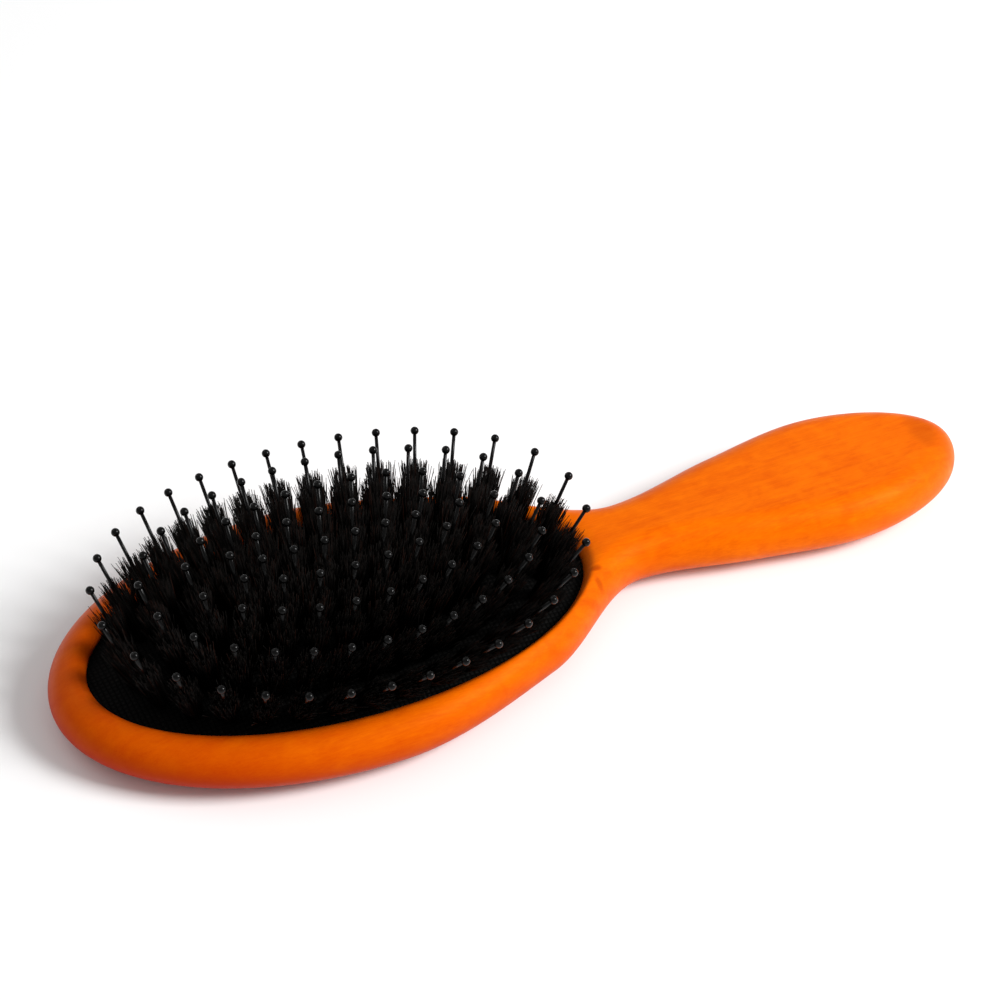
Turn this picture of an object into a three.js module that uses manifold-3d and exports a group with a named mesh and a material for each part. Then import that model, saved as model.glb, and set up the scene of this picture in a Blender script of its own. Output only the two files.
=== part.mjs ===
// An oval cushion hairbrush, lying on its flat back with the bristles up.
// Millimetres, +Z up, +X from the head towards the end of the handle, origin under the middle of the head.
//
// The wood is one piece: an oval head with a pocket routed into it, a neck and a paddle-shaped handle.
// A domed rubber cushion closes the pocket, its flange sprung into a groove round the pocket's wall.
// Five rings of tufts stand in the cushion, each tuft with one ball-tipped pin up its middle. The feet of
// neighbouring tufts are bridged under the cushion, and so are those of the pins, so a ring is a few arcs.
import * as THREE from "three";
import { mergeVertices } from "three/addons/utils/BufferGeometryUtils.js";
import Module from "manifold-3d";

const wasm = await Module();
wasm.setup();

// Clearance left between two pieces that touch on the real brush.
const GAP = 0.32;

// Outline of the wood, seen from above: half-lengths, half-widths and, on the curve between, slopes.
const HEAD_HALF_LENGTH = 60.7;
const HEAD_HALF_WIDTH = 36.7;
const SHOULDER = { x: 38.9, y: 26.7, slope: -0.356 };
const NECK = { x: 69.6, y: 9.6, slope: 0 };
const PADDLE_START = { x: 96.3, y: 14.3, slope: 0.154 };
const PADDLE = { x: 121.3, y: 17.7, slope: 0 };
const HANDLE_END_X = 154.6;
const HANDLE_END_POWER = 1.83;

// Thickness of the wood, and how far in from the outline its edges are rounded.
const HEAD_THICKNESS = 12.8;
const HANDLE_THICKNESS = 14;
const THICKENING_START_X = 20;
const TOP_ROUND = 6.5;
const BACK_ROUND = 10.5;

// The pocket for the cushion.
const POCKET_CENTRE_X = 1.9;
const POCKET_HALF_LENGTH = 54.8;
const POCKET_HALF_WIDTH = 28.4;
const POCKET_FLOOR_Z = 3.2;
const LIP_Z = 11;
const LIP_SLOPE_WIDTH = 3.2;
const LIP_SLOPE_RISE = 1.6;
const LIP_KNEE = { width: 0.4, rise: 0.6 };
const GROOVE_DEPTH = 2.4;

// The cushion: edge height at the pocket's wall, rise of the dome, and wall thickness.
const CUSHION_EDGE_Z = 9.4;
const CUSHION_RISE = 3.6;
const CUSHION_RISE_POWER = 2.5;
const CUSHION_THICKNESS = 1.6;
const CUSHION_FLANGE = GROOVE_DEPTH - 2 * GAP;
const CUSHION_HOLE_DEPTH = 9;
const CUSHION_VENT_RADIUS = 0.6;
const CUSHION_VENT = { x: 8.0, y: -7.1 };
const CUSHION_OVALS = [0.1, 0.32, 0.56, 0.78, 0.97];

// Level ovals on the dome: 1 at the pocket's wall, 0 on the line of the middle row. Their half-length follows
// the width evenly over most of the dome, then widens faster near the wall.
const OVAL_LEAST_LENGTH = 15.2;
const OVAL_EVEN_SHARE = 0.88;
const OVAL_LATE_POWER = 8;

// Flats that the wood, the pocket's ovals and the cushion's ovals are drawn with.
const WOOD_STATIONS = 46;
const WOOD_ACROSS = 10;
const OUTLINE_STATIONS = 400;
const POCKET_SIDES = 36;
const CUSHION_SIDES = 24;

// Tufts and pins.
const TUFT_ROOT_RADIUS = 2.1;
const TUFT_TIP_RADIUS = 2.9;
const TUFT_HEIGHT = 14.4;
const TUFT_SIDES = 5;
const PIN_RADIUS = 0.45;
const PIN_BALL_RADIUS = 0.9;
const PIN_HEIGHT = 21.4;
const PIN_SIDES = 4;
const LEAN_X = 0.44;
const LEAN_Y = 0.852;
const TUFT_FOOT_DEPTH = 3.4;
const TUFT_BRIDGE = { depth: 2.8, width: 1.4, thickness: 0.9, inset: 1.45 };
const PIN_FOOT_DEPTH = 4.6;
const PIN_BRIDGE = { depth: 4.2, width: 0.5, thickness: 0.5, inset: 0.1 };
const RINGS = [
  { name: "outer_ring", oval: 0.832, tufts: 32, arcs: 4, start: 0.17 },
  { name: "second_ring", oval: 0.626, tufts: 28, arcs: 4, start: 0.54 },
  { name: "third_ring", oval: 0.398, tufts: 21, arcs: 3, start: 0 },
  { name: "inner_ring", oval: 0.2, tufts: 15, arcs: 3, start: 0 },
];
const ROW = { centreX: 0.9, halfLength: 14.5, tufts: 6 };

const lacqueredWood = new THREE.MeshStandardMaterial({ color: 0xf07400, roughness: 0.3, metalness: 0 });
const clothRubber = new THREE.MeshStandardMaterial({ color: 0x0c0c0c, roughness: 0.85, metalness: 0 });
const boarBristle = new THREE.MeshStandardMaterial({ color: 0x120c0a, roughness: 0.5, metalness: 0 });
const blackNylon = new THREE.MeshStandardMaterial({ color: 0x0a0a0a, roughness: 0.2, metalness: 0 });

// ---- Solids ----

function toSolid(geometry) {
  geometry.deleteAttribute("normal");
  geometry.deleteAttribute("uv");
  const merged = mergeVertices(geometry);
  const index = merged.getIndex().array;
  const triVerts = [];
  for (let i = 0; i < index.length; i += 3) {
    const [a, b, c] = [index[i], index[i + 1], index[i + 2]];
    if (a !== b && b !== c && c !== a) triVerts.push(a, b, c);
  }
  const vertProperties = new Float32Array(merged.getAttribute("position").array);
  return new wasm.Manifold(new wasm.Mesh({ numProp: 3, vertProperties, triVerts: new Uint32Array(triVerts) }));
}

function toMesh(solid, name, material) {
  const { vertProperties, triVerts } = solid.getMesh();
  const geometry = new THREE.BufferGeometry();
  geometry.setAttribute("position", new THREE.BufferAttribute(vertProperties, 3));
  geometry.setIndex(new THREE.BufferAttribute(triVerts, 1));
  geometry.computeVertexNormals();
  const mesh = new THREE.Mesh(geometry, material);
  mesh.name = name;
  return mesh;
}

// A solid through a row of closed rings of points. A ring of one point is a pole, and other ends are capped,
// unless the row closes on itself.
function loft(rings, closesOnItself = false) {
  const positions = [];
  const triangles = [];
  const starts = rings.map((ring) => {
    const start = positions.length / 3;
    ring.forEach((p) => positions.push(p.x, p.y, p.z));
    return start;
  });
  const last = rings.length - 1;
  for (let k = 0; k < (closesOnItself ? rings.length : last); k++) {
    const next = (k + 1) % rings.length;
    const [from, to] = [rings[k].length, rings[next].length];
    for (let i = 0; i < Math.max(from, to); i++) {
      const a = starts[k] + (i % from);
      const b = starts[k] + ((i + 1) % from);
      const c = starts[next] + (i % to);
      const d = starts[next] + ((i + 1) % to);
      if (a !== b) triangles.push(a, b, d);
      if (c !== d) triangles.push(a, d, c);
    }
  }
  const capped = closesOnItself ? 0 : rings[0].length;
  for (let i = 1; i + 1 < capped; i++) {
    triangles.push(starts[0], starts[0] + i + 1, starts[0] + i);
    triangles.push(starts[last], starts[last] + i, starts[last] + i + 1);
  }
  const geometry = new THREE.BufferGeometry();
  geometry.setAttribute("position", new THREE.Float32BufferAttribute(positions, 3));
  geometry.setIndex(triangles);
  const solid = toSolid(geometry);
  if (solid.volume() > 0) return solid;
  for (let i = 0; i < triangles.length; i += 3) {
    [triangles[i], triangles[i + 1]] = [triangles[i + 1], triangles[i]];
  }
  geometry.setIndex(triangles);
  return toSolid(geometry);
}

// Points of a flat-sided ring round an axis, a distance along it from its foot.
function ringRound(foot, axis, along, radius, sides) {
  const sideways = new THREE.Vector3(0, 1, 0).cross(axis).normalize();
  const across = axis.clone().cross(sideways);
  return Array.from({ length: sides }, (_, i) => {
    const angle = (2 * Math.PI * i) / sides;
    const centre = foot.clone().addScaledVector(axis, along);
    const offset = sideways.clone().multiplyScalar(Math.cos(angle)).addScaledVector(across, Math.sin(angle));
    return centre.addScaledVector(offset, radius);
  });
}

function rod(foot, axis, length, radius, sides) {
  return loft([ringRound(foot, axis, 0, radius, sides), ringRound(foot, axis, length, radius, sides)]);
}

// ---- Wood ----

// Cubic between two outline points, keeping their slopes.
function curveBetween(from, to, x) {
  const span = to.x - from.x;
  const t = (x - from.x) / span;
  const start = (1 - t) ** 2 * ((1 + 2 * t) * from.y + t * span * from.slope);
  return start + t ** 2 * ((3 - 2 * t) * to.y - (1 - t) * span * to.slope);
}

function halfWidth(x) {
  if (x <= 0) return HEAD_HALF_WIDTH * Math.sqrt(Math.max(1 - (x / HEAD_HALF_LENGTH) ** 2, 0));
  if (x <= PADDLE.x) {
    const points = [{ x: 0, y: HEAD_HALF_WIDTH, slope: 0 }, SHOULDER, NECK, PADDLE_START, PADDLE];
    const next = points.findIndex((point) => point.x >= x);
    return curveBetween(points[next - 1], points[next], x);
  }
  const along = Math.min((x - PADDLE.x) / (HANDLE_END_X - PADDLE.x), 1);
  return PADDLE.y * Math.sqrt(1 - along ** HANDLE_END_POWER);
}

// X positions crowded towards both ends, where the outline turns.
function woodStations(count) {
  const middle = (HANDLE_END_X - HEAD_HALF_LENGTH) / 2;
  const reach = (HANDLE_END_X + HEAD_HALF_LENGTH) / 2;
  return Array.from({ length: count + 1 }, (_, i) => middle - reach * Math.cos((Math.PI * i) / count));
}

const outline = woodStations(OUTLINE_STATIONS).map((x) => [x, halfWidth(x)]);

function distanceToOutline(x, y) {
  return Math.min(...outline.map(([px, py]) => Math.hypot(x - px, Math.abs(y) - py)));
}

function woodThickness(x) {
  return HEAD_THICKNESS + (HANDLE_THICKNESS - HEAD_THICKNESS) * THREE.MathUtils.smoothstep(x, THICKENING_START_X, PADDLE.x);
}

// Quarter-round rise from 0 at the outline to 1 at the given distance inside it.
function roundOver(distance, width) {
  return Math.sqrt(1 - (1 - Math.min(distance / width, 1)) ** 2);
}

function woodBlank() {
  const rings = woodStations(WOOD_STATIONS).map((x, i, all) => {
    const half = woodThickness(x) / 2;
    if (i === 0 || i === all.length - 1) return [new THREE.Vector3(x, 0, half)];
    const ring = [];
    for (let j = 0; j < 2 * WOOD_ACROSS; j++) {
      const onTop = j < WOOD_ACROSS;
      const y = -halfWidth(x) * Math.cos((Math.PI * j) / WOOD_ACROSS);
      const distance = j % WOOD_ACROSS === 0 ? 0 : distanceToOutline(x, y);
      const rise = half * roundOver(distance, onTop ? TOP_ROUND : BACK_ROUND);
      ring.push(new THREE.Vector3(x, y, onTop ? half + rise : half - rise));
    }
    return ring;
  });
  return loft(rings);
}

// A ring of points on the pocket's outline pushed out by a distance.
function pocketRing(offset, z, sides = POCKET_SIDES) {
  return Array.from({ length: sides }, (_, i) => {
    const angle = (2 * Math.PI * i) / sides;
    const x = POCKET_CENTRE_X + (POCKET_HALF_LENGTH + offset) * Math.cos(angle);
    return new THREE.Vector3(x, (POCKET_HALF_WIDTH + offset) * Math.sin(angle), z);
  });
}

function handleBody() {
  const grooveTop = CUSHION_EDGE_Z + GAP;
  const grooveFoot = CUSHION_EDGE_Z - CUSHION_THICKNESS - GAP;
  const lipTop = LIP_Z + LIP_SLOPE_RISE;
  const pocket = loft([
    pocketRing(0, POCKET_FLOOR_Z),
    pocketRing(0, grooveFoot),
    pocketRing(GROOVE_DEPTH, grooveFoot),
    pocketRing(GROOVE_DEPTH, grooveTop),
    pocketRing(0, grooveTop),
    pocketRing(0, LIP_Z),
    pocketRing(LIP_SLOPE_WIDTH * LIP_KNEE.width, LIP_Z + LIP_SLOPE_RISE * LIP_KNEE.rise),
    pocketRing(LIP_SLOPE_WIDTH, lipTop),
    pocketRing(LIP_SLOPE_WIDTH, HEAD_THICKNESS + LIP_SLOPE_RISE),
  ]);
  return toMesh(woodBlank().subtract(pocket), "handle_body", lacqueredWood);
}

// ---- Cushion ----

function ovalPoint(oval, angle, z) {
  const share = OVAL_EVEN_SHARE * oval + (1 - OVAL_EVEN_SHARE) * oval ** OVAL_LATE_POWER;
  const length = OVAL_LEAST_LENGTH + (POCKET_HALF_LENGTH - OVAL_LEAST_LENGTH) * share;
  const x = POCKET_CENTRE_X + length * Math.cos(angle);
  return new THREE.Vector3(x, POCKET_HALF_WIDTH * oval * Math.sin(angle), z);
}

function domeZ(oval) {
  return CUSHION_EDGE_Z + CUSHION_RISE * (1 - oval ** CUSHION_RISE_POWER);
}

function domeRing(oval, drop) {
  const point = (i) => ovalPoint(oval, (2 * Math.PI * i) / CUSHION_SIDES, domeZ(oval) - drop);
  return Array.from({ length: CUSHION_SIDES }, (_, i) => point(i));
}

function cushionPad(tufts) {
  const underside = CUSHION_EDGE_Z - CUSHION_THICKNESS;
  let pad = loft([
    ...CUSHION_OVALS.map((oval) => domeRing(oval, 0)),
    pocketRing(CUSHION_FLANGE, CUSHION_EDGE_Z, CUSHION_SIDES),
    pocketRing(CUSHION_FLANGE, underside, CUSHION_SIDES),
    ...CUSHION_OVALS.toReversed().map((oval) => domeRing(oval, CUSHION_THICKNESS)),
  ]);
  const holes = tufts.map(({ root, direction }) => {
    const foot = root.clone().addScaledVector(direction, -CUSHION_HOLE_DEPTH / 2);
    return rod(foot, direction, CUSHION_HOLE_DEPTH, TUFT_ROOT_RADIUS + GAP, TUFT_SIDES);
  });
  const up = new THREE.Vector3(0, 0, 1);
  const ventFoot = new THREE.Vector3(POCKET_CENTRE_X + CUSHION_VENT.x, CUSHION_VENT.y, LIP_Z);
  holes.push(rod(ventFoot, up, 2 * CUSHION_RISE, CUSHION_VENT_RADIUS, TUFT_SIDES));
  holes.forEach((hole) => {
    pad = pad.subtract(hole);
  });
  return toMesh(pad, "cushion_pad", clothRubber);
}

// ---- Tufts and pins ----

// Angles that space tufts evenly along an oval, starting a share of a space from +X.
function evenAngles(oval, count, start) {
  const steps = 2000;
  const lengths = [0];
  for (let i = 1; i <= steps; i++) {
    const before = ovalPoint(oval, (2 * Math.PI * (i - 1)) / steps, 0);
    const here = ovalPoint(oval, (2 * Math.PI * i) / steps, 0);
    lengths.push(lengths[i - 1] + before.distanceTo(here));
  }
  return Array.from({ length: count }, (_, k) => {
    const target = (lengths[steps] * (k + start)) / count;
    return (2 * Math.PI * lengths.findIndex((length) => length >= target)) / steps;
  });
}

// The tuft rooted at a point of the dome leans outwards, the more the nearer it is to the wood.
function tuftAt(root) {
  const leanX = (Math.sin(LEAN_X) * (root.x - POCKET_CENTRE_X)) / POCKET_HALF_LENGTH;
  const leanY = (Math.sin(LEAN_Y) * root.y) / POCKET_HALF_WIDTH;
  const direction = new THREE.Vector3(leanX, leanY, Math.sqrt(1 - leanX ** 2 - leanY ** 2));
  return { root, direction };
}

// Short bars between the feet of neighbouring tufts, each ending inside the two pieces that it joins.
function bridges(tufts, { depth, width, thickness, inset }) {
  const feet = tufts.map(({ root, direction }) => root.clone().addScaledVector(direction, -depth));
  return feet.slice(1).map((foot, i) => {
    const run = foot.clone().sub(feet[i]).normalize();
    const side = new THREE.Vector3(0, 0, 1).cross(run).setLength(width / 2);
    const rise = run.clone().cross(side).setLength(thickness / 2);
    const section = (centre) =>
      [[1, 1], [-1, 1], [-1, -1], [1, -1]].map(([across, up]) =>
        centre.clone().addScaledVector(side, across).addScaledVector(rise, up),
      );
    const from = feet[i].clone().addScaledVector(run, inset);
    return loft([section(from), section(foot.clone().addScaledVector(run, -inset))]);
  });
}

// A bundle of bristles as a flaring tube, with the bore that its pin stands in.
function tuft({ root, direction }) {
  const ring = (along, radius) => ringRound(root, direction, along, radius, TUFT_SIDES);
  const bore = PIN_RADIUS + GAP;
  return loft(
    [
      ring(-TUFT_FOOT_DEPTH, TUFT_ROOT_RADIUS),
      ring(TUFT_HEIGHT, TUFT_TIP_RADIUS),
      ring(TUFT_HEIGHT, bore),
      ring(-TUFT_FOOT_DEPTH, bore),
    ],
    true,
  );
}

function pin({ root, direction }) {
  const ring = (along, radius) => ringRound(root, direction, along, radius, PIN_SIDES);
  return loft([
    ring(-PIN_FOOT_DEPTH, PIN_RADIUS),
    ring(PIN_HEIGHT - 2 * PIN_BALL_RADIUS, PIN_RADIUS),
    ring(PIN_HEIGHT - PIN_BALL_RADIUS, PIN_BALL_RADIUS),
    [root.clone().addScaledVector(direction, PIN_HEIGHT)],
  ]);
}

function arcOf(pieces, joints) {
  return [...pieces, ...joints].reduce((arc, piece) => arc.add(piece));
}

function addArc(group, tufts, namedFor) {
  const tuftArc = arcOf(tufts.map(tuft), bridges(tufts, TUFT_BRIDGE));
  const pinArc = arcOf(tufts.map(pin), bridges(tufts, PIN_BRIDGE));
  group.add(toMesh(tuftArc, namedFor("tufts"), boarBristle));
  group.add(toMesh(pinArc, namedFor("pins"), blackNylon));
}

// ---- Assembly ----

const brush = new THREE.Group();
const allTufts = [];

RINGS.forEach((ring) => {
  const angles = evenAngles(ring.oval, ring.tufts, ring.start);
  const tufts = angles.map((angle) => tuftAt(ovalPoint(ring.oval, angle, domeZ(ring.oval))));
  const perArc = ring.tufts / ring.arcs;
  for (let k = 0; k < ring.arcs; k++) {
    addArc(brush, tufts.slice(k * perArc, (k + 1) * perArc), (what) => `${ring.name}_${what}_${k + 1}`);
  }
  allTufts.push(...tufts);
});

const rowTufts = Array.from({ length: ROW.tufts }, (_, i) => {
  const x = ROW.centreX + ROW.halfLength * ((2 * i) / (ROW.tufts - 1) - 1);
  return tuftAt(new THREE.Vector3(x, 0, domeZ(0)));
});
addArc(brush, rowTufts, (what) => `centre_row_${what}`);
allTufts.push(...rowTufts);

brush.add(cushionPad(allTufts));
brush.add(handleBody());

export default brush;
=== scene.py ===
"""Looks of an oval cushion hairbrush that lies on its flat back with the bristles up.

The wood is one lacquered piece with a pocket for a domed rubber cushion faced with cloth. Tufts of
boar bristle stand in the cushion in four rings and a middle row, each with a ball-tipped nylon pin up
its middle. Sizes are in millimetres, and become metres where a mesh is made.
"""

import logging
import math
from dataclasses import dataclass, field
from enum import Enum
from typing import Any, Callable, Iterable

import bmesh
import bpy
import numpy as np
from mathutils import Matrix, Vector


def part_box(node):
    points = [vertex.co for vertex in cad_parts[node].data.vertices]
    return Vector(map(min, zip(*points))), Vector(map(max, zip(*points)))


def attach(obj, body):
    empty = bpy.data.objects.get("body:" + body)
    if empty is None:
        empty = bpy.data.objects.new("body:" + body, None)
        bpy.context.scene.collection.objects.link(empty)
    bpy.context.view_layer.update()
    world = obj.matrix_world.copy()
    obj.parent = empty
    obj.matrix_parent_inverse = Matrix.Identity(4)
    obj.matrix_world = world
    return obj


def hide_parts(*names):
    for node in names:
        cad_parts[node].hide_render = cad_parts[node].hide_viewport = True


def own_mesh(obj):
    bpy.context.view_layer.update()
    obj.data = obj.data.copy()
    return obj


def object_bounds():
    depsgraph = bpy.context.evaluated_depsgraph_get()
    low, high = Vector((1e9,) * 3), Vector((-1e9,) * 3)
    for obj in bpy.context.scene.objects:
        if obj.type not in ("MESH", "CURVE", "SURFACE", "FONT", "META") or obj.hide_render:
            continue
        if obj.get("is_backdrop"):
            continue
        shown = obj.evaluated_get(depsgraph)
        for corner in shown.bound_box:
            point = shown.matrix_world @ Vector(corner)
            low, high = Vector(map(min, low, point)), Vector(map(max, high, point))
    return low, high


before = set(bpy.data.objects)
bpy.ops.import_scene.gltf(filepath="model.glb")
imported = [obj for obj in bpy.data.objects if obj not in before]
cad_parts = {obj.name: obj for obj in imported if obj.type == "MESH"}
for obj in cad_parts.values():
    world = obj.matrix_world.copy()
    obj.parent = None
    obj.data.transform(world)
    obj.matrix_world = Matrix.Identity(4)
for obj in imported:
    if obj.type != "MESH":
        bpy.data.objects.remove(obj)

LOG = logging.getLogger("hairbrush")
MM = 0.001
MERGE_DISTANCE = 1e-6
SLIVER_LENGTH = 1e-7
Colour = tuple[float, float, float, float]
Item = bpy.types.Object
Socket = bpy.types.NodeSocket
Settings = dict[str, Any]
Inputs = dict[Any, Any]
Tree = bpy.types.NodeTree


class Slot(Enum):
    """The record's material slots."""

    LACQUERED_WOOD = "lacquered_wood"
    CLOTH_RUBBER = "cloth_rubber"
    BOAR_BRISTLE = "boar_bristle"
    BLACK_NYLON = "black_nylon"


class Maths(Enum):
    """Operations of a Math node that the expressions use."""

    ADD = "ADD"
    SUBTRACT = "SUBTRACT"
    MULTIPLY = "MULTIPLY"
    DIVIDE = "DIVIDE"
    POWER = "POWER"
    SINE = "SINE"
    COSINE = "COSINE"
    ABSOLUTE = "ABSOLUTE"
    GREATER = "GREATER_THAN"


# ---- Node trees ----


def binary(operation: Maths, swapped: bool = False) -> Callable[["Value", Any], "Value"]:
    """Makes an operator of two values.

    Args:
        operation: What it does.
        swapped: Whether the value that it belongs to is the second operand.

    Returns:
        The operator.
    """

    def apply(value: "Value", other: Any) -> "Value":
        """Adds the operator's Math node."""
        pair = (other, value) if swapped else (value, other)
        return value.maths(operation, *pair)

    return apply


class Value:
    """A number's socket that adds Math nodes when it is used in an expression."""

    def __init__(self, nodes: "Nodes", socket: Socket) -> None:
        """Wraps a socket.

        Args:
            nodes: The tree that the socket is in.
            socket: The output socket.
        """
        self.nodes = nodes
        self.socket = socket

    def maths(self, operation: Maths, *values: Any, clamp: bool = False) -> "Value":
        """Adds one Math node.

        Args:
            operation: What it does.
            values: Its inputs, as numbers or values.
            clamp: Whether its result stays from 0 to 1.

        Returns:
            The node's result.
        """
        settings = {"operation": operation.value, "use_clamp": clamp}
        return self.nodes.value("ShaderNodeMath", settings, dict(enumerate(values)))

    __add__, __radd__ = binary(Maths.ADD), binary(Maths.ADD, swapped=True)
    __sub__, __rsub__ = binary(Maths.SUBTRACT), binary(Maths.SUBTRACT, swapped=True)
    __mul__, __rmul__ = binary(Maths.MULTIPLY), binary(Maths.MULTIPLY, swapped=True)
    __truediv__, __pow__ = binary(Maths.DIVIDE), binary(Maths.POWER)

    def clamped(self) -> "Value":
        """The value kept from 0 to 1."""
        return self.maths(Maths.MULTIPLY, self, 1.0, clamp=True)

    def sine(self) -> "Value":
        """Sine of the value."""
        return self.maths(Maths.SINE, self)

    def cosine(self) -> "Value":
        """Cosine of the value."""
        return self.maths(Maths.COSINE, self)

    def size(self) -> "Value":
        """The value without its sign."""
        return self.maths(Maths.ABSOLUTE, self)

    def above(self, level: float) -> "Value":
        """1 where the value is above a level, and 0 elsewhere."""
        return self.maths(Maths.GREATER, self, level)

    def step(self, low: float, high: float) -> "Value":
        """A smooth step from 0 to 1 between two values.

        Args:
            low: Where it is 0.
            high: Where it is 1. It may be lower than low.

        Returns:
            The step.
        """
        settings = {"interpolation_type": "SMOOTHSTEP"}
        inputs = {0: self, 1: low, 2: high, 3: 0.0, 4: 1.0}
        return self.nodes.value("ShaderNodeMapRange", settings, inputs)

    def fade(self, span: tuple[float, float]) -> "Value":
        """A smooth step of a coordinate in metres, between two places in millimetres."""
        return self.step(span[0] * MM, span[1] * MM)


class Nodes:
    """Adds nodes to one tree, of a material, the world or Geometry Nodes."""

    def __init__(self, tree: Tree) -> None:
        """Wraps a tree.

        Args:
            tree: The tree.
        """
        self.tree = tree

    def add(self, kind: str, settings: Settings, inputs: Inputs) -> bpy.types.Node:
        """Adds any node.

        Args:
            kind: The node's type.
            settings: Its properties, which are set first.
            inputs: Numbers, values, sockets or texts by the name or place of the input socket.

        Returns:
            The node.
        """
        node = self.tree.nodes.new(kind)
        for name, setting in settings.items():
            setattr(node, name, setting)
        for name, value in inputs.items():
            socket = node.inputs[name]
            if isinstance(value, Value):
                self.tree.links.new(value.socket, socket)
            elif isinstance(value, Socket):
                self.tree.links.new(value, socket)
            else:
                socket.default_value = value
        return node

    def socket(self, kind: str, settings: Settings, inputs: Inputs) -> Socket:
        """Adds a node and gives its first output."""
        return self.add(kind, settings, inputs).outputs[0]

    def value(self, kind: str, settings: Settings, inputs: Inputs, output: Any = 0) -> Value:
        """Adds a node and wraps one of its outputs.

        Args:
            kind: The node's type.
            settings: Its properties.
            inputs: What its input sockets get.
            output: The name or place of the output.

        Returns:
            The output as a value.
        """
        return Value(self, self.add(kind, settings, inputs).outputs[output])

    def parts(self, vector: Socket) -> tuple[Value, Value, Value]:
        """The three parts of a vector."""
        node = self.add("ShaderNodeSeparateXYZ", {}, {0: vector})
        return tuple(Value(self, output) for output in node.outputs)

    def vector(self, x: Any, y: Any, z: Any) -> Socket:
        """A vector of three parts."""
        return self.socket("ShaderNodeCombineXYZ", {}, {0: x, 1: y, 2: z})

    def vector_maths(self, operation: str, inputs: dict[Any, Any]) -> Socket:
        """The result of a Vector Math node."""
        return self.socket("ShaderNodeVectorMath", {"operation": operation}, inputs)

    def mixed(self, share: Any, first: Any, second: Any) -> Socket:
        """A mix of two colours.

        Args:
            share: How much of the second colour.
            first: The colour at share 0.
            second: The colour at share 1.

        Returns:
            The mixed colour.
        """
        settings = {"data_type": "RGBA"}
        return self.add("ShaderNodeMix", settings, {0: share, 6: first, 7: second}).outputs[2]

    def bump(self, strength: float, relief: float, height: Value) -> Socket:
        """The normal of an uneven surface, whose relief is in millimetres."""
        inputs = {"Strength": strength, "Distance": relief * MM, "Height": height}
        return self.socket("ShaderNodeBump", {}, inputs)


@dataclass(frozen=True)
class Noise:
    """A noise pattern drawn out by its grain, the size of its features along each axis in millimetres."""

    grain: tuple[float, float, float]
    detail: float = 3.0
    roughness: float = 0.5
    distortion: float = 0.0

    def on(self, nodes: Nodes, place: Socket) -> Value:
        """Adds the pattern to a tree.

        Args:
            nodes: The tree.
            place: The coordinates, in metres.

        Returns:
            The pattern, about 0.5 on average.
        """
        scale = Vector([1.0 / (MM * size) for size in self.grain])
        inputs = {
            "Vector": nodes.socket("ShaderNodeMapping", {}, {"Vector": place, "Scale": scale}),
            "Scale": 1.0,
            "Detail": self.detail,
            "Roughness": self.roughness,
            "Distortion": self.distortion,
        }
        return nodes.value("ShaderNodeTexNoise", {}, inputs)


# ---- Finishes ----


class Finish:
    """A finish that makes one material. Each kind of finish draws its own surface."""

    name: str = "finish"

    def draw(self, nodes: Nodes, place: Socket) -> dict[str, Any]:
        """Adds the finish's patterns.

        Args:
            nodes: The material's tree.
            place: The Object coordinates.

        Returns:
            What the Principled shader's inputs get.
        """
        raise NotImplementedError

    def material(self) -> bpy.types.Material:
        """Makes the finish's material.

        Returns:
            The material.
        """
        material = bpy.data.materials.new(self.name)
        material.use_nodes = True
        material.node_tree.nodes.clear()
        nodes = Nodes(material.node_tree)
        place = nodes.add("ShaderNodeTexCoord", {}, {}).outputs["Object"]
        shader = nodes.add("ShaderNodeBsdfPrincipled", {}, self.draw(nodes, place))
        nodes.add("ShaderNodeOutputMaterial", {}, {"Surface": shader.outputs[0]})
        return material


@dataclass(frozen=True)
class Mark:
    """A dark spot on the wood, as an ellipse seen from above."""

    x: float
    y: float
    half_length: float
    half_width: float
    depth: float


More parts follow.
